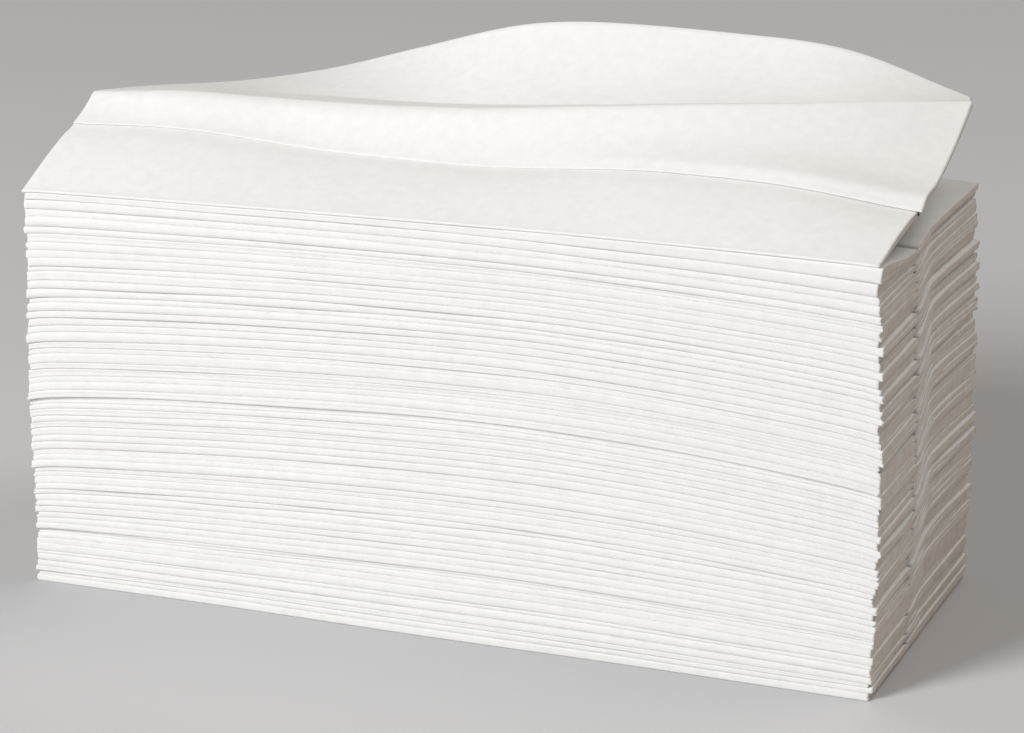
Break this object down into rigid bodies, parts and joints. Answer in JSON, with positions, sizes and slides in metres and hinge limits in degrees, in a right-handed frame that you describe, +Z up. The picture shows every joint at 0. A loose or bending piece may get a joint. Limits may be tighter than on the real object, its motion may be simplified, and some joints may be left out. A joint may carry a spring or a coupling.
{
  "type": "stack of c-fold paper towels",
  "caption": "Loose stack of white C-fold paper towels, each a sheet with two flaps folded in over its base panel, the top towel sprung open along its front fold.",
  "frame": {"origin": "centre of the stack's footprint, on the surface that it rests on", "axes": "+X along the folds, +Y from the front folds to the rear folds, +Z up"},
  "size_m": [0.2522, 0.1, 0.1592],
  "materials": {
    "tissue": "matt soft white tissue with a fine emboss"
  },
  "bodies": {
    "root": {"towel_01": "tissue", "towel_02": "tissue", "towel_03": "tissue", "towel_04": "tissue", "towel_05": "tissue", "towel_06": "tissue", "towel_07": "tissue", "towel_08": "tissue", "towel_09": "tissue", "towel_10": "tissue", "towel_11": "tissue", "towel_12": "tissue", "towel_13": "tissue", "towel_14": "tissue", "towel_15": "tissue", "towel_16": "tissue", "towel_17": "tissue", "towel_18": "tissue", "towel_19": "tissue", "towel_20": "tissue", "towel_21": "tissue", "towel_22": "tissue", "towel_23": "tissue", "towel_24": "tissue", "towel_25": "tissue", "towel_26": "tissue", "towel_27": "tissue", "towel_28": "tissue", "towel_29": "tissue", "towel_30": "tissue", "towel_31": "tissue", "towel_32": "tissue", "towel_33": "tissue", "towel_34": "tissue", "towel_35": "tissue", "towel_36": "tissue", "towel_37": "tissue", "towel_38": "tissue", "towel_39": "tissue", "towel_40": "tissue", "towel_41": "tissue", "towel_42": "tissue", "towel_43": "tissue", "towel_44": "tissue", "towel_45": "tissue", "towel_46": "tissue", "towel_47": "tissue", "towel_48": "tissue", "towel_49": "tissue", "towel_50": "tissue", "towel_51": "tissue", "towel_52": "tissue", "towel_53": "tissue", "towel_54": "tissue", "towel_55": "tissue", "towel_56": "tissue", "towel_57": "tissue", "towel_58": "tissue", "towel_59": "tissue", "top_towel": "tissue"}
  },
  "joints": []
}
